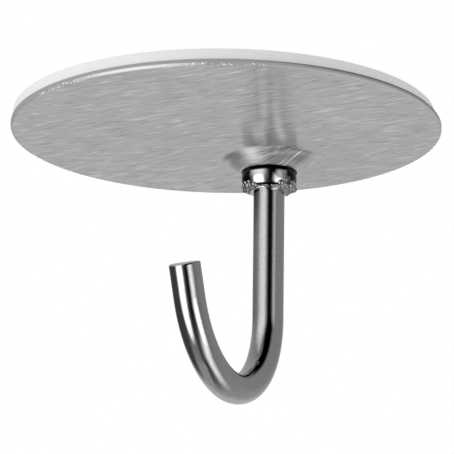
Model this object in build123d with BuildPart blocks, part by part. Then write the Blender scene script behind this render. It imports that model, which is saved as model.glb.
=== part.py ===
from build123d import *
import os
from math import asin, atan2, degrees, tan

# Adhesive ceiling hook, in millimetres. The origin is the centre of the face that sticks to the
# ceiling and +Z points up into it, so the whole hook hangs below. The rod is bent in the XZ plane,
# its stem towards +X and its tip towards -X.

# Foam pad with an adhesive film on both faces
pad_diameter = 68.2
pad_thickness = 1.9
pad_edge_break = 0.15

# Plate, blanked and pressed from one stainless sheet
plate_diameter = 69.7
sheet_thickness = 1.0
rim_round = 0.3

# Boss, drawn down out of the plate as a shallow cone of the same sheet
boss_base_diameter = 15.6
boss_seat_diameter = 9.6
boss_height = 2.15
boss_base_bend = 1.2
boss_seat_bend = 0.3
boss_flat_margin = 1.0

# Rod, and the line it is bent to: stem, round of the hook, wider mouth arc, straight tip
rod_diameter = 5.1
stem_offset = 17.2
stem_length = 25.05
bend_radius = 14.85
bend_angle = 95.0
mouth_radius = 16.8
mouth_angle = 63.6
tip_length = 5.6
tip_edge_break = 0.3

# Spigot turned on the rod's top end, riveted over in the hollow of the boss
spigot_diameter = 3.6
spigot_clearance = 0.05
rivet_head_diameter = 6.4
rivet_head_height = 1.2
rivet_head_round = 0.75

# Collar on the rod under the boss: a relieved top, a crowned side and a brazed bead round the rod
collar_bore_clearance = 0.05
collar_relief_diameter = 6.2
collar_relief_height = 0.42
collar_diameter = 9.06
collar_height = 2.73
collar_crown_radius = 3.9
collar_widest_drop = 0.63
collar_upper_round = 0.15
collar_lower_round = 0.35
bead_width = 0.75
bead_height = 0.35
bead_round = 0.25

# Heights that follow from the sizes above
plate_top = -pad_thickness
plate_underside = plate_top - sheet_thickness
seat_height = plate_underside - boss_height
boss_floor = seat_height + sheet_thickness
collar_top = seat_height - collar_relief_height
collar_widest = collar_top - collar_widest_drop
collar_bottom = collar_top - collar_height

# Radii that follow from them
plate_radius = plate_diameter / 2
rod_radius = rod_diameter / 2
boss_base_radius = boss_base_diameter / 2
boss_seat_radius = boss_seat_diameter / 2
boss_blank_radius = boss_base_radius + boss_base_bend + boss_flat_margin
spigot_radius = spigot_diameter / 2
spigot_hole_radius = spigot_radius + spigot_clearance
collar_bore_radius = rod_radius + collar_bore_clearance
bead_radius = collar_bore_radius + bead_width
crown_centre_radius = collar_diameter / 2 - collar_crown_radius

# Angles of the crowned side, from its widest line up to the top and down to the bottom
crown_rise = degrees(asin(collar_widest_drop / collar_crown_radius))
crown_fall = degrees(asin((collar_height - collar_widest_drop) / collar_crown_radius))

# Half the turn of the sheet at each bend of the boss, and how far it draws the upper corners in
boss_half_turn = atan2(boss_height, boss_base_radius - boss_seat_radius) / 2
boss_corner_shift = sheet_thickness * tan(boss_half_turn)

# The stem's axis, and the upright plane through it in which the round profiles are drawn
stem_axis = Axis((stem_offset, 0, 0), (0, 0, 1))
stem_plane = Plane(origin=(stem_offset, 0, 0), x_dir=(1, 0, 0), z_dir=(0, -1, 0))

os.makedirs("parts", exist_ok=True)


# Pad: a plain foam disc, cut a little smaller than the plate
with BuildPart() as adhesive_pad:
    with BuildSketch(Plane.XY.offset(plate_top)):
        Circle(pad_diameter / 2)
    extrude(amount=pad_thickness)
    chamfer(adhesive_pad.edges().filter_by(GeomType.CIRCLE), length=pad_edge_break)
adhesive_pad.part.label = "adhesive_pad"
export_step(adhesive_pad.part, "parts/adhesive_pad.step")


# Plate: the flat blank with its rolled-over rim, then the boss turned round the stem's axis
with BuildPart() as plate:
    with BuildSketch(Plane.XY.offset(plate_underside)):
        Circle(plate_radius)
        with Locations((stem_offset, 0)):
            Circle(boss_blank_radius, mode=Mode.SUBTRACT)
    extrude(amount=sheet_thickness)
    rim_edges = plate.edges().filter_by(GeomType.CIRCLE).group_by(SortBy.RADIUS)[-1]
    fillet(rim_edges, radius=rim_round)
    with BuildSketch(stem_plane):
        with BuildLine():
            underside = FilletPolyline(
                (boss_blank_radius, plate_underside),
                (boss_base_radius, plate_underside),
                (boss_seat_radius, seat_height),
                (spigot_hole_radius, seat_height),
                radius=[boss_base_bend, boss_seat_bend + sheet_thickness],
            )
            upper_side = FilletPolyline(
                (boss_blank_radius, plate_top),
                (boss_base_radius - boss_corner_shift, plate_top),
                (boss_seat_radius - boss_corner_shift, boss_floor),
                (spigot_hole_radius, boss_floor),
                radius=[boss_base_bend + sheet_thickness, boss_seat_bend],
            )
            Line(underside @ 0, upper_side @ 0)
            Line(underside @ 1, upper_side @ 1)
        make_face()
    revolve(axis=stem_axis)
plate.part.label = "plate"
export_step(plate.part, "parts/plate.step")


# Hook: the bent rod, its shoulder against the boss and its spigot riveted over inside
with BuildPart() as hook:
    with BuildLine(Plane.XZ):
        stem = Line((stem_offset, seat_height), (stem_offset, seat_height - stem_length))
        bend = JernArc(stem @ 1, stem % 1, bend_radius, -bend_angle)
        mouth = JernArc(bend @ 1, bend % 1, mouth_radius, -mouth_angle)
        Line(mouth @ 1, mouth @ 1 + (mouth % 1) * tip_length)
    with BuildSketch(Plane(origin=stem @ 0, z_dir=stem % 0)):
        Circle(rod_radius)
    sweep()
    tip_edge = hook.edges().filter_by(GeomType.CIRCLE).sort_by(Axis.X)[0]
    fillet(tip_edge, radius=tip_edge_break)
    with BuildSketch(Plane.XY.offset(seat_height)):
        with Locations((stem_offset, 0)):
            Circle(spigot_radius)
    extrude(amount=sheet_thickness)
    with BuildSketch(Plane.XY.offset(boss_floor)):
        with Locations((stem_offset, 0)):
            Circle(rivet_head_diameter / 2)
    extrude(amount=rivet_head_height)
    rivet_rim = hook.edges().filter_by(GeomType.CIRCLE).sort_by(Axis.Z)[-1]
    fillet(rivet_rim, radius=rivet_head_round)
hook.part.label = "hook"
export_step(hook.part, "parts/hook.step")


# Collar: turned to size, with its brazed bead round the rod
with BuildPart() as collar:
    with BuildSketch(stem_plane):
        with BuildLine():
            crown = CenterArc(
                (crown_centre_radius, collar_widest),
                collar_crown_radius,
                crown_rise,
                -crown_rise - crown_fall,
            )
            Polyline(
                crown @ 1,
                (collar_bore_radius, collar_bottom),
                (collar_bore_radius, seat_height),
                (collar_relief_diameter / 2, seat_height),
                (collar_relief_diameter / 2, collar_top),
                crown @ 0,
            )
        make_face()
    revolve(axis=stem_axis)
    round_edges = collar.edges().filter_by(GeomType.CIRCLE)
    lower_edge = round_edges.group_by(Axis.Z)[0].sort_by(SortBy.RADIUS)[-1]
    upper_edge = round_edges.filter_by_position(Axis.Z, collar_top - 0.01, collar_top + 0.01)
    fillet(lower_edge, radius=collar_lower_round)
    fillet(upper_edge.sort_by(SortBy.RADIUS)[-1], radius=collar_upper_round)
    with BuildSketch(Plane.XY.offset(collar_bottom)):
        with Locations((stem_offset, 0)):
            Circle(bead_radius)
            Circle(collar_bore_radius, mode=Mode.SUBTRACT)
    extrude(amount=-bead_height)
    bead_edge = collar.edges().filter_by(GeomType.CIRCLE).group_by(Axis.Z)[0].sort_by(SortBy.RADIUS)[-1]
    fillet(bead_edge, radius=bead_round)
collar.part.label = "collar"
export_step(collar.part, "parts/collar.step")
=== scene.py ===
import logging
import math
import random
from dataclasses import dataclass
from enum import Enum
from typing import Any, Protocol

import bmesh
import bpy
from mathutils import Matrix, Vector


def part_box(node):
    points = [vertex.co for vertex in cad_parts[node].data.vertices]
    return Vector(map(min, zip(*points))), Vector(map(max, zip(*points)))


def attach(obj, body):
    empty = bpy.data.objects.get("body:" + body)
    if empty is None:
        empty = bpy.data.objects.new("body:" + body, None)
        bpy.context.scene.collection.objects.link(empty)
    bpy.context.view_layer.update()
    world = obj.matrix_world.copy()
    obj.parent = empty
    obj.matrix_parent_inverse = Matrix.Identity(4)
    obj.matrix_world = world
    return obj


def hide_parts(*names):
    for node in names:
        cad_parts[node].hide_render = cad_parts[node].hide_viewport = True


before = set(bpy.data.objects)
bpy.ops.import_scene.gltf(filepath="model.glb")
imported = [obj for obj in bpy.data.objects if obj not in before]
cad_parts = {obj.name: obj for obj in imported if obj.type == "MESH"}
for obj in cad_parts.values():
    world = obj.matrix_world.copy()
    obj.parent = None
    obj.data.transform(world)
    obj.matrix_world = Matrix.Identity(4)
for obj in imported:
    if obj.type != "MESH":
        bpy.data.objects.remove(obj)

MM = 0.001
WELD = 0.0001 * MM
SHARP_DEG = 35.0
BODY = "root"
PHOTO_PIXELS = 454
STEM_X_MM = 17.2
UP = Vector((0.0, 0.0, 1.0))
LOG = logging.getLogger("adhesive_hook")

Tree = bpy.types.NodeTree
Socket = bpy.types.NodeSocket
Span = tuple[float, float]


class Slot(Enum):
    """Material slots of the record, for the pad and the collar."""

    PAD = "white_foam"
    COLLAR = "polished_collar"


class Finish(Protocol):
    """What every finish can do."""

    def material(self) -> bpy.types.Material:
        """Build the finish as a material."""


def linear(hex_colour: str) -> tuple[float, float, float, float]:
    """Turn an sRGB hex colour into linear RGBA.

    Args:
        hex_colour: Six hex digits with a leading hash, as "#B4B4B6".

    Returns:
        The linear red, green, blue and an alpha of 1.
    """
    channels = [int(hex_colour[i:i + 2], 16) / 255 for i in (1, 3, 5)]
    red, green, blue = (
        c / 12.92 if c <= 0.04045 else ((c + 0.055) / 1.055) ** 2.4 for c in channels
    )
    return red, green, blue, 1.0


def heading(turn_deg: float) -> Vector:
    """Return the level unit vector at an angle from the X axis."""
    turn = math.radians(turn_deg)
    return Vector((math.cos(turn), math.sin(turn), 0.0))


def add_node(
    tree: Tree,
    kind: str,
    settings: dict[str, Any] | None = None,
    values: dict[Any, Any] | None = None,
    links: dict[Any, Socket] | None = None,
) -> bpy.types.Node:
    """Add one node with its settings, socket values and incoming links.

    Args:
        tree: Node tree that gets the node.
        kind: Blender's name of the node type.
        settings: Properties of the node, set first because they may change its sockets.
        values: Input sockets, by name or number, with their default values.
        links: Input sockets, by name or number, with the outputs that feed them.

    Returns:
        The new node.
    """
    node = tree.nodes.new(kind)
    for name, value in (settings or {}).items():
        setattr(node, name, value)
    for socket, value in (values or {}).items():
        node.inputs[socket].default_value = value
    for socket, source in (links or {}).items():
        tree.links.new(source, node.inputs[socket])
    return node


def new_material(name: str) -> tuple[bpy.types.Material, Tree]:
    """Make an empty node material.

    Args:
        name: What the material is called.

    Returns:
        The material and its node tree.
    """
    material = bpy.data.materials.new(name)
    material.use_nodes = True
    material.node_tree.nodes.clear()
    return material, material.node_tree


def overlap(tree: Tree, point: Socket, ramps: tuple[tuple[Vector, Span], ...]) -> Socket:
    """Mark where two ramps overlap.

    Args:
        tree: The material's tree.
        point: Object coordinates, in metres.
        ramps: The direction of each ramp, and the millimetres along it where the ramp starts and
            where it is full.

    Returns:
        The mask, from 0 to 1.
    """
    factors = []
    for direction, (begin, end) in ramps:
        along = add_node(
            tree,
            "ShaderNodeVectorMath",
            settings={"operation": "DOT_PRODUCT"},
            values={1: direction},
            links={0: point},
        ).outputs["Value"]
        ramp = add_node(
            tree,
            "ShaderNodeMapRange",
            values={"From Min": begin * MM, "From Max": end * MM},
            links={"Value": along},
        ).outputs["Result"]
        factors.append(ramp)
    return add_node(
        tree, "ShaderNodeMath", settings={"operation": "MULTIPLY"}, links=dict(enumerate(factors))
    ).outputs["Value"]


def dress(piece: bpy.types.Object, material: bpy.types.Material) -> None:
    """Give a piece one material in its first slot.

    Args:
        piece: The piece to dress.
        material: Its material.
    """
    if piece.material_slots:
        piece.material_slots[0].material = material
    else:
        piece.data.materials.append(material)


def finish_piece(
    bm: bmesh.types.BMesh, name: str, stands_for: tuple[str, ...] = ()
) -> bpy.types.Object:
    """Turn a bmesh into a smooth-shaded piece that rides on the body.

    Args:
        bm: The finished bmesh, which is freed.
        name: Name of the piece.
        stands_for: CAD nodes that the piece replaces.

    Returns:
        The new object, at the origin.
    """
    bmesh.ops.remove_doubles(bm, verts=bm.verts, dist=WELD)
    bmesh.ops.recalc_face_normals(bm, faces=bm.faces)
    mesh = bpy.data.meshes.new(name)
    bm.to_mesh(mesh)
    bm.free()
    mesh.shade_smooth()
    mesh.set_sharp_from_angle(angle=math.radians(SHARP_DEG))
    piece = bpy.data.objects.new(name, mesh)
    bpy.context.scene.collection.objects.link(piece)
    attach(piece, BODY)
    if stands_for:
        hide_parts(*stands_for)
    return piece


@dataclass(frozen=True)
class Streaks:
    """One layer of belt marks: noise drawn out into dashes along the part's Y axis."""

    across_mm: float
    along_mm: float
    turn_deg: float
    seed: float
    detail: float = 1.0

    def factor(self, tree: Tree, point: Socket) -> Socket:
        """Lay the marks flat, as on the sheet before it was drawn.

        Args:
            tree: The material's tree.
            point: Object coordinates, in metres.

        Returns:
            The noise factor, about 0.5 on average.
        """
        turned = add_node(
            tree,
            "ShaderNodeVectorRotate",
            settings={"rotation_type": "Z_AXIS"},
            values={"Angle": math.radians(self.turn_deg)},
            links={"Vector": point},
        )
        scaled = add_node(
            tree,
            "ShaderNodeVectorMath",
            settings={"operation": "MULTIPLY_ADD"},
            values={
                1: (1 / (self.across_mm * MM), 1 / (self.along_mm * MM), 0.0),
                2: (self.seed, self.seed, self.seed),
            },
            links={0: turned.outputs["Vector"]},
        )
        noise = add_node(
            tree,
            "ShaderNodeTexNoise",
            values={"Scale": 1.0, "Detail": self.detail},
            links={"Vector": scaled.outputs["Vector"]},
        )
        return noise.outputs["Fac"]


@dataclass(frozen=True)
class BrushedStainless:
    """Stainless sheet, linished in one direction with a belt, then blanked and drawn.

    A pair of numbers says where a mask starts and where it is full. A level is one of a noise.
    """

    # The belt leaves short parallel marks, so reflections spread across them into soft bands. The
    # marks are about 0.05 mm wide, and are drawn six times as wide to show.
    fine: Streaks = Streaks(0.32, 2.4, 3.0, 0.0)
    coarse: Streaks = Streaks(0.7, 5.5, 3.0, 3.7, 2.0)
    coarse_share: float = 0.5
    flecks: Streaks = Streaks(0.30, 4.2, 3.0, 8.3)
    dark_mark_level: Span = (0.5, 0.34)
    fleck_level: Span = (0.585, 0.69)
    face: str = "#C0C0C0"
    dark_mark: str = "#A3A3A3"
    fleck: str = "#E4E4E4"
    mark_depth_mm: float = 0.006
    mark_strength: float = 0.3
    mirror: float = 0.5
    roughness: float = 0.24
    anisotropy: float = 0.72

    # The drawn boss carries the marks down its flank. It is more of a mirror than the flat and a
    # rougher one, with fine scratches. One flank has a painted highlight and the other a painted
    # shade.
    boss_mm: Span = (9.4, 8.2)
    boss: str = "#DADADA"
    boss_mirror: float = 0.95
    boss_roughness: float = 0.36
    scratches: Streaks = Streaks(0.28, 4.6, 0.0, 11.6, 2.0)
    scratched_mm: Span = (8.6, 6.2)
    bright_scratch_level: Span = (0.56, 0.66)
    bright_scratch: str = "#FFFFFF"
    bright_scratch_mirror: float = 0.45
    dark_scratch_level: Span = (0.44, 0.34)
    dark_scratch: str = "#A0A0A0"
    # painted highlight: a light spot painted on one flank of the boss, which is less of a mirror
    # there
    painted_highlight_at_mm: tuple[float, float, float] = (10.3, 0.3, -3.5)
    painted_highlight_mm: Span = (2.3, 0.3)
    painted_highlight: str = "#FAFAFA"
    painted_highlight_mirror: float = 0.5
    # painted shade: a dark patch painted on the other flank of the boss
    painted_boss_shade_at_mm: tuple[float, float, float] = (13.9, -6.5, -3.2)
    painted_boss_shade_mm: Span = (3.2, 0.8)
    painted_boss_shade: str = "#A8A8A8"

    # The seat under the collar is painted black: a painted shadow in the gap above the collar.
    seat_mm: Span = (4.7, 4.5)
    painted_seat_shadow: str = "#141414"

    # The cut edge is matte and scatters the light. Its shading is painted: one side is painted
    # paler, and on that side a painted shadow darkens the upper corner under the foam.
    edge_mm: Span = (34.52, 34.62)
    edge: str = "#9E9E9E"
    edge_roughness: float = 0.6
    # painted light: this side of the cut edge is painted paler
    painted_light_side: str = "#C6C6C6"
    painted_light_turn_deg: float = 294.7
    painted_light_cosine: Span = (-0.1, 0.5)
    # painted shadow along the edge's upper corner under the foam
    painted_edge_shadow: str = "#343434"
    painted_edge_shadow_height_mm: Span = (-2.85, -1.9)

    # A painted highlight runs as a bright glint along the lower corner of the edge, on one side.
    # Beyond its ends it breaks up into dots.
    painted_glint: str = "#F2F2F2"
    painted_glint_mm: Span = (34.2, 34.52)
    painted_glint_height_mm: Span = (-2.5, -2.6)
    painted_glint_turn_deg: float = 180.0
    painted_glint_reach_deg: Span = (20.0, 3.0)
    dot_mm: float = 0.45
    dot_level: Span = (0.56, 0.64)
    dots_reach_deg: Span = (37.0, 33.0)

    def places(self, tree: Tree, point: Socket) -> dict[str, Socket]:
        """Work out where a point lies on the plate.

        Args:
            tree: The material's tree.
            point: Object coordinates, in metres.

        Returns:
            The distances and directions that the masks are cut from, by name.
        """
        flat = add_node(
            tree,
            "ShaderNodeVectorMath",
            settings={"operation": "MULTIPLY"},
            values={1: (1.0, 1.0, 0.0)},
            links={0: point},
        ).outputs["Vector"]
        outwards = add_node(
            tree, "ShaderNodeVectorMath", settings={"operation": "NORMALIZE"}, links={0: flat}
        ).outputs["Vector"]
        found = {
            name: add_node(
                tree,
                "ShaderNodeVectorMath",
                settings={"operation": operation},
                values={1: other},
                links={0: source},
            ).outputs["Value"]
            for name, operation, source, other in (
                ("radius", "DISTANCE", flat, (0.0, 0.0, 0.0)),
                ("from_stem", "DISTANCE", flat, (STEM_X_MM * MM, 0.0, 0.0)),
                ("from_painted_highlight", "DISTANCE", point, Vector(self.painted_highlight_at_mm) * MM),
                ("from_painted_boss_shade", "DISTANCE", point, Vector(self.painted_boss_shade_at_mm) * MM),
                ("to_painted_glint", "DOT_PRODUCT", outwards, heading(self.painted_glint_turn_deg)),
                ("to_painted_light", "DOT_PRODUCT", outwards, heading(self.painted_light_turn_deg)),
            )
        }
        split = add_node(tree, "ShaderNodeSeparateXYZ", links={"Vector": point})
        found["height"] = split.outputs["Z"]
        return found

    def masks(self, tree: Tree, point: Socket, marks: Socket) -> dict[str, Socket]:
        """Cut the masks for marks, boss, edge, and the painted highlight, shade, shadows and glint.

        Args:
            tree: The material's tree.
            point: Object coordinates, in metres.
            marks: The belt marks, about 0.5 on average.

        Returns:
            Each mask by name, from 0 to 1.
        """
        place = self.places(tree, point)
        scratches = self.scratches.factor(tree, point)
        dots = add_node(
            tree,
            "ShaderNodeTexNoise",
            values={"Scale": 1 / (self.dot_mm * MM), "Detail": 1.0},
            links={"Vector": point},
        ).outputs["Fac"]
        painted_glint_cosine, dots_cosine = (
            tuple(math.cos(math.radians(angle)) for angle in reach)
            for reach in (self.painted_glint_reach_deg, self.dots_reach_deg)
        )
        masks = {
            name: add_node(
                tree,
                "ShaderNodeMapRange",
                values={"From Min": begin * unit, "From Max": end * unit},
                links={"Value": value},
            ).outputs["Result"]
            for name, value, unit, (begin, end) in (
                ("dark_mark", marks, 1, self.dark_mark_level),
                ("fleck", self.flecks.factor(tree, point), 1, self.fleck_level),
                ("bright_scratch", scratches, 1, self.bright_scratch_level),
                ("dark_scratch", scratches, 1, self.dark_scratch_level),
                ("scratched", place["from_painted_boss_shade"], MM, self.scratched_mm),
                ("boss", place["from_stem"], MM, self.boss_mm),
                ("painted_highlight", place["from_painted_highlight"], MM, self.painted_highlight_mm),
                ("painted_boss_shade", place["from_painted_boss_shade"], MM, self.painted_boss_shade_mm),
                ("seat", place["from_stem"], MM, self.seat_mm),
                ("edge", place["radius"], MM, self.edge_mm),
                ("painted_light_side", place["to_painted_light"], 1, self.painted_light_cosine),
                ("painted_edge_shadow", place["height"], MM, self.painted_edge_shadow_height_mm),
                ("painted_glint", place["to_painted_glint"], 1, painted_glint_cosine),
                ("dots", dots, 1, self.dot_level),
                ("dotted", place["to_painted_glint"], 1, dots_cosine),
                ("outer", place["radius"], MM, self.painted_glint_mm),
                ("lower", place["height"], MM, self.painted_glint_height_mm),
            )
        }
        for name, operation, other in (
            ("scratched", "MULTIPLY", "boss"),
            ("bright_scratch", "MULTIPLY", "scratched"),
            ("dark_scratch", "MULTIPLY", "scratched"),
            ("painted_light_side", "MULTIPLY", "edge"),
            ("painted_edge_shadow", "MULTIPLY", "painted_light_side"),
            ("dots", "MULTIPLY", "dotted"),
            ("painted_glint", "MAXIMUM", "dots"),
            ("painted_glint", "MULTIPLY", "outer"),
            ("painted_glint", "MULTIPLY", "lower"),
        ):
            masks[name] = add_node(
                tree,
                "ShaderNodeMath",
                settings={"operation": operation},
                links={0: masks[name], 1: masks[other]},
            ).outputs["Value"]
        return masks

    def material(self) -> bpy.types.Material:
        """Build the brushed stainless material.

        Returns:
            The material, with its marks along the part's Y axis.
        """
        material, tree = new_material("brushed_stainless")
        point = add_node(tree, "ShaderNodeTexCoord").outputs["Object"]
        marks = add_node(
            tree,
            "ShaderNodeMix",
            settings={"data_type": "FLOAT"},
            values={"Factor": self.coarse_share},
            links={"A": self.fine.factor(tree, point), "B": self.coarse.factor(tree, point)},
        ).outputs["Result"]
        masks = self.masks(tree, point, marks)
        colour = add_node(
            tree,
            "ShaderNodeMix",
            settings={"data_type": "RGBA"},
            values={"A": linear(self.face), "B": linear(self.dark_mark)},
            links={"Factor": masks["dark_mark"]},
        ).outputs["Result"]
        # these layers also paint light and shade: a highlight and a shade on the boss, shadows on
        # the seat and the edge, a paler side of the edge and a glint
        for mask, shade in (
            ("fleck", self.fleck),
            ("boss", self.boss),
            ("painted_highlight", self.painted_highlight),
            ("painted_boss_shade", self.painted_boss_shade),
            ("dark_scratch", self.dark_scratch),
            ("bright_scratch", self.bright_scratch),
            ("seat", self.painted_seat_shadow),
            ("edge", self.edge),
            ("painted_light_side", self.painted_light_side),
            ("painted_edge_shadow", self.painted_edge_shadow),
            ("painted_glint", self.painted_glint),
        ):
            colour = add_node(
                tree,
                "ShaderNodeMix",
                settings={"data_type": "RGBA"},
                values={"B": linear(shade)},
                links={"Factor": masks[mask], "A": colour},
            ).outputs["Result"]

        # a scratched or cut surface, the painted highlight and the painted glint scatter light in
        # place of mirroring it
        gloss = {
            socket: add_node(
                tree,
                "ShaderNodeMix",
                settings={"data_type": "FLOAT"},
                values={"A": flat, "B": drawn},
                links={"Factor": masks["boss"]},
            ).outputs["Result"]
            for socket, flat, drawn in (
                ("Metallic", self.mirror, self.boss_mirror),
                ("Roughness", self.roughness, self.boss_roughness),
            )
        }
        for socket, mask, level in (
            ("Metallic", "bright_scratch", self.bright_scratch_mirror),
            ("Metallic", "painted_highlight", self.painted_highlight_mirror),
            ("Metallic", "edge", 0.0),
            ("Metallic", "painted_glint", 0.0),
            ("Roughness", "edge", self.edge_roughness),
        ):
            gloss[socket] = add_node(
                tree,
                "ShaderNodeMix",
                settings={"data_type": "FLOAT"},
                values={"B": level},
                links={"Factor": masks[mask], "A": gloss[socket]},
            ).outputs["Result"]
        bump = add_node(
            tree,
            "ShaderNodeBump",
            values={"Strength": self.mark_strength, "Distance": self.mark_depth_mm * MM},
            links={"Height": marks},
        ).outputs["Normal"]
        lay = add_node(
            tree, "ShaderNodeTangent", settings={"direction_type": "RADIAL", "axis": "Y"}
        ).outputs["Tangent"]
        shader = add_node(
            tree,
            "ShaderNodeBsdfPrincipled",
            values={"Anisotropic": self.anisotropy},
            links={"Base Color": colour, "Normal": bump, "Tangent": lay, **gloss},
        )
        add_node(tree, "ShaderNodeOutputMaterial", links={"Surface": shader.outputs["BSDF"]})
        return material


@dataclass(frozen=True)
class PolishedStainless:
    """Stainless steel rod, buffed bright on a mop, with its tip sawn off."""

    # It mirrors the room, a little softened by hairlines and wavy where the polish dwelt. Mop lines
    # are under 0.02 mm wide, so hairlines and grain are drawn several times as coarse to show.
    name: str = "polished_stainless"
    steel: str = "#C9C9C9"
    grain: str = "#BCBCBC"
    grain_mm: float = 0.35
    grain_level: Span = (0.36, 0.64)
    roughness: Span = (0.03, 0.07)
    cloud_mm: float = 3.0
    cloud_level: Span = (0.3, 0.7)
    hairline_mm: float = 0.12
    hairline_depth_mm: float = 0.0004
    hairline_strength: float = 0.2
    wave_mm: float = 0.9
    wave_depth_mm: float = 0.008
    wave_strength: float = 1.0

    # One flank of the rod just under the brazing is painted dark: a painted reflection, darkest at
    # the joint.
    painted_flank: str = "#383838"
    painted_flank_turn_deg: float = 114.7
    painted_flank_mm: Span = (1.2, 2.3)
    painted_flank_height_mm: Span = (-16.5, -8.6)

    # The sawn end is satin, so it scatters the light evenly.
    end: str = "#E4E4E4"
    end_mirror: float = 0.3
    end_roughness: float = 0.5
    end_heading: tuple[float, float, float] = (-0.3649, 0.0, 0.9311)
    end_mm: Span = (-21.5601, -21.56)
    tip_side_mm: Span = (1.0, -1.0)

    def painted_reflection(self, tree: Tree, point: Socket) -> Socket:
        """Paint the dark reflection down one flank of the rod, fading away from the joint.

        Args:
            tree: The material's tree.
            point: Object coordinates, in metres.

        Returns:
            The tint's strength.
        """
        flank = heading(self.painted_flank_turn_deg)
        begin, end = (STEM_X_MM * flank.x + edge for edge in self.painted_flank_mm)
        return overlap(tree, point, ((flank, (begin, end)), (UP, self.painted_flank_height_mm)))

    def patches(self, tree: Tree, point: Socket) -> list[tuple[Socket, str, dict[str, float]]]:
        """List the places with a finish of their own.

        Args:
            tree: The material's tree.
            point: Object coordinates, in metres.

        Returns:
            The mask of each, its colour, and its levels by the shader's socket.
        """
        end_ramps = ((Vector(self.end_heading), self.end_mm), (heading(0.0), self.tip_side_mm))
        end_levels = {"Metallic": self.end_mirror, "Roughness": self.end_roughness}
        return [
            # painted dark reflection down one flank
            (self.painted_reflection(tree, point), self.painted_flank, {}),
            (overlap(tree, point, end_ramps), self.end, end_levels),
        ]

    def material(self) -> bpy.types.Material:
        """Build the polished material.

        Returns:
            The material, with its patches in their places on the hook.
        """
        material, tree = new_material(self.name)
        point = add_node(tree, "ShaderNodeTexCoord").outputs["Object"]
        noise = {
            name: add_node(
                tree,
                "ShaderNodeTexNoise",
                values={"Scale": 1 / (size * MM), "Detail": detail},
                links={"Vector": point},
            ).outputs["Fac"]
            for name, size, detail in (
                ("cloud", self.cloud_mm, 3.0),
                ("hairlines", self.hairline_mm, 2.0),
                ("waves", self.wave_mm, 1.0),
                ("grain", self.grain_mm, 3.0),
            )
        }
        grain, rough = (
            add_node(
                tree,
                "ShaderNodeMapRange",
                values={"From Min": begin, "From Max": end, "To Min": low, "To Max": high},
                links={"Value": noise[name]},
            ).outputs["Result"]
            for name, (begin, end), (low, high) in (
                ("grain", self.grain_level, (0.0, 1.0)),
                ("cloud", self.cloud_level, self.roughness),
            )
        )
        colour = add_node(
            tree,
            "ShaderNodeMix",
            settings={"data_type": "RGBA"},
            values={"A": linear(self.steel), "B": linear(self.grain)},
            links={"Factor": grain},
        ).outputs["Result"]
        gloss = {"Roughness": rough}
        for mask, shade, levels in self.patches(tree, point):
            colour = add_node(
                tree,
                "ShaderNodeMix",
                settings={"data_type": "RGBA"},
                values={"B": linear(shade)},
                links={"Factor": mask, "A": colour},
            ).outputs["Result"]
            for socket, level in levels.items():
                under = {"A": gloss[socket]} if socket in gloss else {}
                gloss[socket] = add_node(
                    tree,
                    "ShaderNodeMix",
                    settings={"data_type": "FLOAT"},
                    values={"A": 1.0, "B": level},
                    links={"Factor": mask, **under},
                ).outputs["Result"]
        bump = {}
        for name, strength, depth in (
            ("waves", self.wave_strength, self.wave_depth_mm),
            ("hairlines", self.hairline_strength, self.hairline_depth_mm),
        ):
            bump["Normal"] = add_node(
                tree,
                "ShaderNodeBump",
                values={"Strength": strength, "Distance": depth * MM},
                links={"Height": noise[name], **bump},
            ).outputs["Normal"]
        shader = add_node(
            tree,
            "ShaderNodeBsdfPrincipled",
            values={"Metallic": 1.0},
            links={"Base Color": colour, **gloss, **bump},
        )
        add_node(tree, "ShaderNodeOutputMaterial", links={"Surface": shader.outputs["BSDF"]})
        return material


@dataclass(frozen=True)
class BrazeFiller(PolishedStainless):
    """Silver braze filler, left as it froze."""

    # The droplets are bright, though duller than the polished steel, and mirror the room softly.
    # On the flank where the rod has its painted dark reflection they only lack the grain.
    name: str = "silver_braze_filler"
    steel: str = "#ACACAC"
    grain: str = "#9E9E9E"
    painted_flank: str = "#ACACAC"
    roughness: Span = (0.21, 0.25)

    def patches(self, tree: Tree, point: Socket) -> list[tuple[Socket, str, dict[str, float]]]:
        """List the flank alone, as the rod's method does."""
        return [(self.painted_reflection(tree, point), self.painted_flank, {})]


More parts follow.
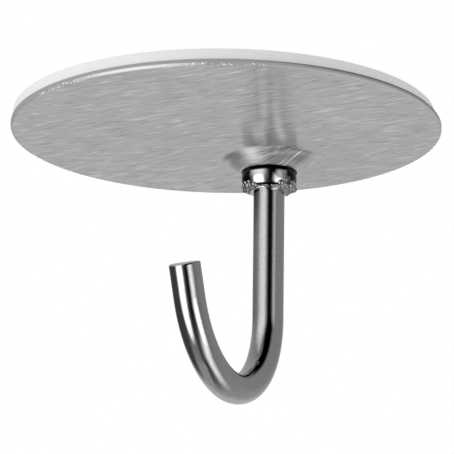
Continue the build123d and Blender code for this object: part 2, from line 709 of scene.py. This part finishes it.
@dataclass(frozen=True)
class PaintedShadeStainless:
    """Turned stainless ring, blackened where the brazing flame licked it.

    A pair of numbers says where the painted shade starts and where it is full.
    """

    # Between the painted black places the steel still mirrors the room. Where the shade is painted,
    # the steel is also duller and pitted, with a ragged border.
    steel: str = "#CFCFCF"
    # painted shade: black painted on the collar as shadow and dark reflection
    painted_shade: str = "#1C1C1C"
    roughness: float = 0.1
    painted_shade_roughness: float = 0.2
    pit_mm: float = 0.35
    pit_depth_mm: float = 0.02

    # The painted shade lies along the top edge as a shadow under the seat, in a line above the bead
    # as a shadow at the underside's edge, and on the two sides across the camera's view as a
    # painted dark reflection.
    top_mm: Span = (-5.8, -5.62)
    line_at_mm: float = -8.04
    line_mm: Span = (0.26, 0.13)
    side_mm: Span = (2.6, 3.3)
    side_shift_mm: float = 0.15
    side_turn_deg: float = -65.0
    border_noise_mm: float = 0.9
    ragged_mm: float = 1.0

    def painted_shade_mask(self, tree: Tree, point: Socket, border_noise: Socket) -> Socket:
        """Mark where shade is painted black.

        Args:
            tree: The material's tree.
            point: Object coordinates, in metres.
            border_noise: The noise that makes the border ragged.

        Returns:
            The mask, 1 where the oxide is full.
        """
        side_heading = heading(self.side_turn_deg)
        height = add_node(tree, "ShaderNodeSeparateXYZ", links={"Vector": point}).outputs["Z"]
        sideways = add_node(
            tree,
            "ShaderNodeVectorMath",
            settings={"operation": "DOT_PRODUCT"},
            values={1: side_heading},
            links={0: point},
        ).outputs["Value"]
        away = {}
        for name, value, origin_mm in (
            ("line", height, self.line_at_mm),
            ("side", sideways, STEM_X_MM * side_heading.x - self.side_shift_mm),
        ):
            for operation in ("SUBTRACT", "ABSOLUTE"):
                value = add_node(
                    tree,
                    "ShaderNodeMath",
                    settings={"operation": operation},
                    values={1: origin_mm * MM},
                    links={0: value},
                ).outputs["Value"]
            away[name] = value
        ragged = add_node(
            tree,
            "ShaderNodeMath",
            settings={"operation": "MULTIPLY_ADD"},
            values={1: 2 * self.ragged_mm * MM, 2: -self.ragged_mm * MM},
            links={0: border_noise},
        ).outputs["Value"]
        away["side"] = add_node(
            tree,
            "ShaderNodeMath",
            settings={"operation": "ADD"},
            links={0: away["side"], 1: ragged},
        ).outputs["Value"]
        top, line, side = (
            add_node(
                tree,
                "ShaderNodeMapRange",
                values={"From Min": begin * MM, "From Max": end * MM},
                links={"Value": value},
            ).outputs["Result"]
            for value, (begin, end) in (
                (height, self.top_mm),
                (away["line"], self.line_mm),
                (away["side"], self.side_mm),
            )
        )
        mask = top
        for other in (line, side):
            mask = add_node(
                tree, "ShaderNodeMath", settings={"operation": "MAXIMUM"}, links={0: mask, 1: other}
            ).outputs["Value"]
        return mask

    def material(self) -> bpy.types.Material:
        """Build the collar's stainless material with its painted shade.

        Returns:
            The material, with its painted shade as it lies on the collar.
        """
        material, tree = new_material("painted_shade_stainless")
        point = add_node(tree, "ShaderNodeTexCoord").outputs["Object"]
        border_noise, pits = (
            add_node(
                tree,
                "ShaderNodeTexNoise",
                values={"Scale": 1 / (size * MM), "Detail": detail},
                links={"Vector": point},
            ).outputs["Fac"]
            for size, detail in ((self.border_noise_mm, 3.0), (self.pit_mm, 2.0))
        )
        painted_shade = self.painted_shade_mask(tree, point, border_noise)
        colour = add_node(
            tree,
            "ShaderNodeMix",
            settings={"data_type": "RGBA"},
            values={"A": linear(self.steel), "B": linear(self.painted_shade)},
            links={"Factor": painted_shade},
        ).outputs["Result"]
        rough = add_node(
            tree,
            "ShaderNodeMapRange",
            values={"To Min": self.roughness, "To Max": self.painted_shade_roughness},
            links={"Value": painted_shade},
        ).outputs["Result"]
        bump = add_node(
            tree,
            "ShaderNodeBump",
            values={"Distance": self.pit_depth_mm * MM},
            links={"Height": pits, "Strength": painted_shade},
        ).outputs["Normal"]
        shader = add_node(
            tree,
            "ShaderNodeBsdfPrincipled",
            values={"Metallic": 1.0},
            links={"Base Color": colour, "Roughness": rough, "Normal": bump},
        )
        add_node(tree, "ShaderNodeOutputMaterial", links={"Surface": shader.outputs["BSDF"]})
        return material


@dataclass(frozen=True)
class WhiteFoam:
    """White closed-cell polyethylene foam, die-cut."""

    # The cut edge shows its cells as a fine soft grain, and the skin between them is matte. The
    # cells are 0.1 to 0.2 mm wide, and are drawn a little coarser to show.
    foam: str = "#F1F1F0"
    cell: str = "#E6E6E5"
    roughness: float = 0.65
    cell_mm: float = 0.28
    cell_depth_mm: float = 0.02
    cell_strength: float = 0.3

    def material(self) -> bpy.types.Material:
        """Build the foam material.

        Returns:
            The material, the same on every side.
        """
        material, tree = new_material("white_polyethylene_foam")
        cells = add_node(
            tree,
            "ShaderNodeTexVoronoi",
            settings={"feature": "SMOOTH_F1"},
            values={"Scale": 1 / (self.cell_mm * MM)},
            links={"Vector": add_node(tree, "ShaderNodeTexCoord").outputs["Object"]},
        ).outputs["Distance"]
        colour = add_node(
            tree,
            "ShaderNodeMix",
            settings={"data_type": "RGBA"},
            values={"A": linear(self.foam), "B": linear(self.cell)},
            links={"Factor": cells},
        ).outputs["Result"]
        bump = add_node(
            tree,
            "ShaderNodeBump",
            settings={"invert": True},
            values={"Strength": self.cell_strength, "Distance": self.cell_depth_mm * MM},
            links={"Height": cells},
        ).outputs["Normal"]
        shader = add_node(
            tree,
            "ShaderNodeBsdfPrincipled",
            values={"Roughness": self.roughness},
            links={"Base Color": colour, "Normal": bump},
        )
        add_node(tree, "ShaderNodeOutputMaterial", links={"Surface": shader.outputs["BSDF"]})
        return material


@dataclass(frozen=True)
class SteelPart:
    """A steel part that the CAD model shapes, and that only gets its finish here.

    One that isn't mirrored is left out of the reflections in the others.
    """

    node: str
    finish: Finish
    mirrored: bool = True

    def build(self) -> bpy.types.Object:
        """Dress the part.

        Returns:
            The CAD node's object.
        """
        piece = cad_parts[self.node]
        dress(piece, self.finish.material())
        piece.visible_glossy = self.mirrored
        return piece


@dataclass
class AdhesivePad:
    """The foam disc between plate and ceiling, with its die-cut edge.

    Sizes that the CAD solid fixes come from its box. A face is level from one share of an upright
    normal, and a vertex is on the cut edge from one share of the radius.
    """

    finish: Finish = WhiteFoam()
    level_from: float = 0.9
    side_from: float = 0.999
    segments: int = 256
    side_cuts: int = 5
    face_margin: float = 0.02
    waist_mm: float = 0.10
    edge_round_mm: float = 0.18
    edge_round_cuts: int = 3
    off_centre_mm: Span = (-0.15, 0.32)

    def __post_init__(self) -> None:
        """Read the pad's radius and faces from the frame."""
        low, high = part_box("adhesive_pad")
        self.radius = high.x
        self.half_thickness = (high.z - low.z) / 2
        self.middle = low.z + self.half_thickness

    def on_side(self, vertex: bmesh.types.BMVert) -> bool:
        """Say whether a vertex lies on the cut edge."""
        return vertex.co.xy.length > self.radius * self.side_from

    def on_arris(self, vertex: bmesh.types.BMVert) -> bool:
        """Say whether a vertex lies where the cut edge meets a face."""
        from_middle = abs(vertex.co.z - self.middle)
        return self.on_side(vertex) and abs(from_middle - self.half_thickness) < WELD

    def mesh(self) -> bpy.types.Object:
        """Model the pad: a disc with rounded arrises and a slightly drawn-in cut edge.

        Returns:
            The pad, standing for its CAD solid.
        """
        bm = bmesh.new()
        bmesh.ops.create_cone(
            bm,
            cap_ends=True,
            segments=self.segments,
            radius1=self.radius,
            radius2=self.radius,
            depth=2 * self.half_thickness,
            matrix=Matrix.Translation((0.0, 0.0, self.middle)),
        )
        faces = [face for face in bm.faces if abs(face.normal.z) > self.level_from]
        bmesh.ops.inset_region(
            bm, faces=faces, thickness=self.radius * self.face_margin, use_even_offset=True
        )
        uprights = [
            edge
            for edge in bm.edges
            if abs(edge.verts[0].co.z - edge.verts[1].co.z) > self.half_thickness
        ]
        bmesh.ops.subdivide_edges(bm, edges=uprights, cuts=self.side_cuts, use_grid_fill=True)
        for vertex in filter(self.on_side, bm.verts):
            height = (vertex.co.z - self.middle) / self.half_thickness
            drawn_in = self.waist_mm * MM * (1 - height * height)
            vertex.co.xy *= (self.radius - drawn_in) / self.radius
        bmesh.ops.bevel(
            bm,
            geom=[edge for edge in bm.edges if all(map(self.on_arris, edge.verts))],
            offset=self.edge_round_mm * MM,
            segments=self.edge_round_cuts,
            profile=0.5,
            affect="EDGES",
            material=-1,
        )
        bmesh.ops.translate(bm, verts=bm.verts, vec=Vector((*self.off_centre_mm, 0.0)) * MM)
        return finish_piece(bm, "foam_pad", ("adhesive_pad",))

    def build(self) -> bpy.types.Object:
        """Returns:
            The finished pad, kept out of mirror reflections.
        """
        pad = self.mesh()
        dress(pad, self.finish.material())
        pad.visible_glossy = False
        return pad


@dataclass(frozen=True)
class Lumps:
    """One run of frozen droplets along an arc round the rod."""

    count: int
    from_deg: float
    to_deg: float
    radius_mm: float
    height_mm: float
    size_mm: float
    scatter_mm: float


@dataclass
class BrazedJoint:
    """The filler metal between rod and collar, frozen in lumps under the ring and up its two sides.

    A droplet strays from its place by a share of the run's spacing, and its size is between two
    shares of the run's.
    """

    seed: int = 7
    stray: float = 0.25
    sizes: Span = (0.75, 1.15)
    flatness: float = 0.85
    droplet_cuts: int = 3
    voxel_mm: float = 0.07
    soften: float = 0.5
    soften_times: int = 4
    finish: Finish = BrazeFiller()
    runs: tuple[Lumps, ...] = (
        Lumps(26, 0.0, 360.0, 3.0, -8.26, 0.35, 0.06),
        Lumps(24, 0.0, 360.0, 3.5, -8.16, 0.34, 0.07),
        Lumps(5, 246.0, 300.0, 4.12, -7.3, 0.46, 0.14),
        Lumps(6, 234.0, 302.0, 3.95, -7.9, 0.62, 0.12),
        Lumps(5, 238.0, 298.0, 3.55, -8.2, 0.56, 0.10),
        Lumps(4, 112.0, 165.0, 4.15, -7.4, 0.40, 0.10),
        Lumps(7, 104.0, 175.0, 3.9, -7.95, 0.46, 0.12),
    )

    def mesh(self) -> bpy.types.Object:
        """Model the lumps as droplets, fused by a voxel remesh and smoothed.

        Returns:
            The lumps, with both modifiers live.
        """
        chance = random.Random(self.seed)
        bm = bmesh.new()
        for run in self.runs:
            for index in range(run.count):
                share = (index + chance.uniform(-self.stray, self.stray)) / run.count
                out = heading(run.from_deg + (run.to_deg - run.from_deg) * share)
                radius = run.radius_mm + chance.uniform(-run.scatter_mm, run.scatter_mm)
                height = run.height_mm + chance.uniform(-run.scatter_mm, run.scatter_mm)
                size = run.size_mm * chance.uniform(*self.sizes)
                place = out * radius + Vector((STEM_X_MM, 0.0, height))
                flattened = Matrix.Diagonal((1.0, 1.0, self.flatness, 1.0))
                bmesh.ops.create_icosphere(
                    bm,
                    subdivisions=self.droplet_cuts,
                    radius=size * MM,
                    matrix=Matrix.Translation(place * MM) @ flattened,
                )
        piece = finish_piece(bm, "brazing")
        fuse = piece.modifiers.new("fuse", "REMESH")
        fuse.mode = "VOXEL"
        fuse.voxel_size = self.voxel_mm * MM
        fuse.use_smooth_shade = True
        soften = piece.modifiers.new("soften", "SMOOTH")
        soften.factor = self.soften
        soften.iterations = self.soften_times
        return piece

    def build(self) -> bpy.types.Object:
        """Model and dress the brazing.

        Returns:
            The finished brazing.
        """
        piece = self.mesh()
        dress(piece, self.finish.material())
        return piece


@dataclass(frozen=True)
class Panel:
    """One soft-edged patch of the studio that polished steel mirrors.

    Angles are in degrees. Azimuth 0 is the side that the camera stands on and positive azimuths are
    to its right; elevation is above the horizon. The level is radiance, with 1 as plain white, and
    softness is the share of the half size over which the edge fades. Squareness 2 gives an oval and
    larger numbers a rounded rectangle.
    """

    azimuth: float
    elevation: float
    half_width: float
    half_height: float
    turn: float
    softness: float
    level: float
    squareness: float = 4.0

    def row(self, turn: float, half: float) -> tuple[float, float, float]:
        """Work out factors that turn (azimuth, elevation, 1) into an offset from the centre.

        Args:
            turn: Direction of the offset, in degrees.
            half: Offset that counts as 1, in degrees.

        Returns:
            The factors, for angles in radians.
        """
        across, up = math.cos(math.radians(turn)), math.sin(math.radians(turn))
        reach = math.radians(half)
        centre = math.radians(self.azimuth) * across + math.radians(self.elevation) * up
        return across / reach, up / reach, -centre / reach

    def mask(self, tree: Tree, angles: Socket) -> Socket:
        """Fade from 1 inside the panel to 0 outside it.

        Args:
            tree: The world's node tree.
            angles: Azimuth and elevation of the ray in radians, and 1.

        Returns:
            The mask.
        """
        powers = []
        rows = (self.row(self.turn, self.half_width), self.row(self.turn + 90, self.half_height))
        for row in rows:
            power = add_node(
                tree,
                "ShaderNodeVectorMath",
                settings={"operation": "DOT_PRODUCT"},
                values={1: row},
                links={0: angles},
            ).outputs["Value"]
            for operation in ("ABSOLUTE", "POWER"):
                power = add_node(
                    tree,
                    "ShaderNodeMath",
                    settings={"operation": operation},
                    values={1: self.squareness},
                    links={0: power},
                ).outputs["Value"]
            powers.append(power)
        both = add_node(
            tree, "ShaderNodeMath", settings={"operation": "ADD"}, links=dict(enumerate(powers))
        ).outputs["Value"]
        reach = add_node(
            tree,
            "ShaderNodeMath",
            settings={"operation": "POWER"},
            values={1: 1 / self.squareness},
            links={0: both},
        ).outputs["Value"]
        return add_node(
            tree,
            "ShaderNodeMapRange",
            settings={"interpolation_type": "SMOOTHSTEP"},
            values={
                "From Min": 1 - self.softness,
                "From Max": 1 + self.softness,
                "To Min": 1.0,
                "To Max": 0.0,
            },
            links={"Value": reach},
        ).outputs["Result"]


@dataclass
class Studio:
    """The plain studio: white surroundings, soft boxes, a key lamp, a pale floor and the camera."""

    # The camera stands as the photograph's did.
    azimuth_deg: float = -65.33
    elevation_deg: float = -16.44
    roll_deg: float = 0.66
    distance_mm: float = 900.0
    focal_pixels: float = 5591.5
    sensor_mm: float = 36.0
    clip_m: Span = (0.01, 100.0)
    target_mm: tuple[float, float, float] = (0.140, -0.306, -19.045)

    # The floor is far below, because the hook hangs from a ceiling.
    floor_drop_mm: float = 1600.0
    floor_side_mm: float = 4000.0
    floor_colour: str = "#FAFAFA"
    floor_roughness: float = 0.9

    # A large soft lamp on the camera's left shades the white foam.
    lamp_side_m: float = 0.6
    lamp_watts: float = 3.0
    lamp_back_m: float = 0.55
    lamp_left_m: float = 0.85
    lamp_drop_m: float = 0.05

    # Matte surfaces see one plain level. Polished steel sees a grey room, lighter at its far side,
    # with the panels over it. The last two are one panel that wraps round behind the object.
    plain_level: float = 0.77
    room_level: Span = (0.26, 0.44)
    room_turn_deg: Span = (61.0, 171.0)
    panels: tuple[Panel, ...] = (
        Panel(83.4, 54.7, 98.2, 46.7, 6.6, 0.17, 0.0, 2.0),
        Panel(98.4, 29.8, 56.3, 29.2, 2.4, 0.22, 0.32, 2.0),
        Panel(-48.2, 26.1, 23.9, 37.6, 44.2, 0.70, 1.15),
        Panel(-118.8, -16.4, 44.7, 30.8, -21.6, 0.31, 0.07, 2.0),
        Panel(-49.4, -28.0, 24.5, 32.0, -2.1, 0.28, 1.95),
        Panel(38.5, -22.3, 37.1, 14.8, -29.8, 0.50, 2.2),
        Panel(84.2, -62.7, 32.0, 18.6, 2.5, 0.90, 1.73),
        Panel(41.1, 5.3, 13.2, 17.4, 10.9, 0.45, 0.65),
        Panel(5.6, -3.2, 20.3, 84.2, -1.5, 0.89, 0.0),
        Panel(83.1, -78.9, 107.3, 16.1, 6.1, 0.90, 0.05, 2.0),
        Panel(180.0, -17.0, 26.0, 20.0, 0.0, 0.40, 0.62),
        Panel(-180.0, -17.0, 26.0, 20.0, 0.0, 0.40, 0.62),
    )

    def axes(self) -> tuple[Vector, Vector, Vector]:
        """Work out the camera's right, up and back directions.

        Returns:
            Unit vectors in the part's frame, the roll included.
        """
        turn, tilt, roll = map(math.radians, (self.azimuth_deg, self.elevation_deg, self.roll_deg))
        level = math.cos(tilt)
        back = Vector((math.sin(turn) * level, -math.cos(turn) * level, math.sin(tilt)))
        level_right = heading(self.azimuth_deg)
        level_up = back.cross(level_right)
        right = level_right * math.cos(roll) + level_up * math.sin(roll)
        up = level_up * math.cos(roll) - level_right * math.sin(roll)
        return right, up, back

    def camera(self) -> None:
        """Place the camera as the photograph's."""
        right, up, back = self.axes()
        data = bpy.data.cameras.new("camera")
        data.sensor_width = self.sensor_mm
        data.lens = self.focal_pixels / PHOTO_PIXELS * self.sensor_mm
        data.clip_start, data.clip_end = self.clip_m
        camera = bpy.data.objects.new("camera", data)
        place = Matrix((right, up, back)).transposed().to_4x4()
        place.translation = (Vector(self.target_mm) + back * self.distance_mm) * MM
        camera.matrix_world = place
        bpy.context.scene.collection.objects.link(camera)
        bpy.context.scene.camera = camera

    def room(self, tree: Tree) -> Socket:
        """Lay the panels over the grey room, as polished steel sees them.

        Args:
            tree: The world's node tree.

        Returns:
            The radiance in the direction of the ray.
        """
        direction = add_node(tree, "ShaderNodeTexCoord").outputs["Generated"]
        rightwards, towards, upwards = (
            add_node(
                tree,
                "ShaderNodeVectorMath",
                settings={"operation": "DOT_PRODUCT"},
                values={1: axis},
                links={0: direction},
            ).outputs["Value"]
            for axis in (heading(self.azimuth_deg), heading(self.azimuth_deg - 90), UP)
        )
        azimuth, elevation = (
            add_node(
                tree, "ShaderNodeMath", settings={"operation": operation}, links=links
            ).outputs["Value"]
            for operation, links in (
                ("ARCTAN2", {0: rightwards, 1: towards}),
                ("ARCSINE", {0: upwards}),
            )
        )
        angles = add_node(
            tree, "ShaderNodeCombineXYZ", values={"Z": 1.0}, links={"X": azimuth, "Y": elevation}
        ).outputs["Vector"]
        sideways = add_node(
            tree, "ShaderNodeMath", settings={"operation": "ABSOLUTE"}, links={0: azimuth}
        ).outputs["Value"]
        level = add_node(
            tree,
            "ShaderNodeMapRange",
            settings={"interpolation_type": "SMOOTHSTEP"},
            values={
                "From Min": math.radians(self.room_turn_deg[0]),
                "From Max": math.radians(self.room_turn_deg[1]),
                "To Min": self.room_level[0],
                "To Max": self.room_level[1],
            },
            links={"Value": sideways},
        ).outputs["Result"]
        for panel in self.panels:
            level = add_node(
                tree,
                "ShaderNodeMix",
                settings={"data_type": "FLOAT"},
                values={"B": panel.level},
                links={"Factor": panel.mask(tree, angles), "A": level},
            ).outputs["Result"]
        return level

    def world(self) -> None:
        """White round the camera's view, the room for what mirrors, one level for the rest."""
        world = bpy.data.worlds.new("studio")
        bpy.context.scene.world = world
        world.use_nodes = True
        world.cycles.sampling_method = "NONE"
        tree = world.node_tree
        tree.nodes.clear()
        ray = add_node(tree, "ShaderNodeLightPath").outputs
        mirrored = add_node(
            tree,
            "ShaderNodeMix",
            settings={"data_type": "FLOAT"},
            values={"A": self.plain_level},
            links={"Factor": ray["Is Glossy Ray"], "B": self.room(tree)},
        ).outputs["Result"]
        open_view = add_node(
            tree,
            "ShaderNodeMath",
            settings={"operation": "MAXIMUM"},
            links={0: ray["Is Camera Ray"], 1: ray["Is Transmission Ray"]},
        ).outputs["Value"]
        seen = add_node(
            tree,
            "ShaderNodeMix",
            settings={"data_type": "FLOAT"},
            values={"B": 1.0},
            links={"Factor": open_view, "A": mirrored},
        ).outputs["Result"]
        background = add_node(tree, "ShaderNodeBackground", links={"Color": seen})
        add_node(tree, "ShaderNodeOutputWorld", links={"Surface": background.outputs["Background"]})

    def floor(self) -> None:
        """Lay the pale floor, which mirrors leave out."""
        bm = bmesh.new()
        drop = Matrix.Translation((0.0, 0.0, -self.floor_drop_mm * MM))
        bmesh.ops.create_grid(
            bm, x_segments=1, y_segments=1, size=self.floor_side_mm / 2 * MM, matrix=drop
        )
        mesh = bpy.data.meshes.new("floor")
        bm.to_mesh(mesh)
        bm.free()
        floor = bpy.data.objects.new("floor", mesh)
        bpy.context.scene.collection.objects.link(floor)
        floor.visible_glossy = False
        material, tree = new_material("pale_floor")
        shader = add_node(
            tree,
            "ShaderNodeBsdfPrincipled",
            values={"Base Color": linear(self.floor_colour), "Roughness": self.floor_roughness},
        )
        add_node(tree, "ShaderNodeOutputMaterial", links={"Surface": shader.outputs["BSDF"]})
        dress(floor, material)

    def key_lamp(self) -> None:
        """Hang the lamp, turned to the object."""
        right, _, back = self.axes()
        data = bpy.data.lights.new("key", "AREA")
        data.shape = "SQUARE"
        data.size = self.lamp_side_m
        data.energy = self.lamp_watts
        lamp = bpy.data.objects.new("key", data)
        spot = back * self.lamp_back_m - right * self.lamp_left_m - UP * self.lamp_drop_m
        lamp.location = spot
        lamp.rotation_euler = spot.to_track_quat("Z", "Y").to_euler()
        lamp.visible_glossy = False
        bpy.context.scene.collection.objects.link(lamp)

    def build(self) -> None:
        """Set up everything that isn't part of the object."""
        self.world()
        self.floor()
        self.key_lamp()
        self.camera()
        bpy.context.scene.view_settings.view_transform = "Standard"


def main() -> None:
    """Build the studio and the pieces, and log each piece's finish and face count."""
    logging.basicConfig(level=logging.INFO, format="%(name)s: %(message)s")
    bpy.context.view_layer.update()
    Studio().build()

    # the rod in the photograph mirrors neither pad nor plate
    for part in (
        AdhesivePad(),
        SteelPart("plate", BrushedStainless(), mirrored=False),
        SteelPart("hook", PolishedStainless()),
        SteelPart("collar", PaintedShadeStainless()),
        BrazedJoint(),
    ):
        piece = part.build()
        finish, faces = piece.active_material.name, len(piece.data.polygons)
        LOG.info("%s: %s, %d faces", piece.name, finish, faces)


if __name__ == "__main__":
    main()
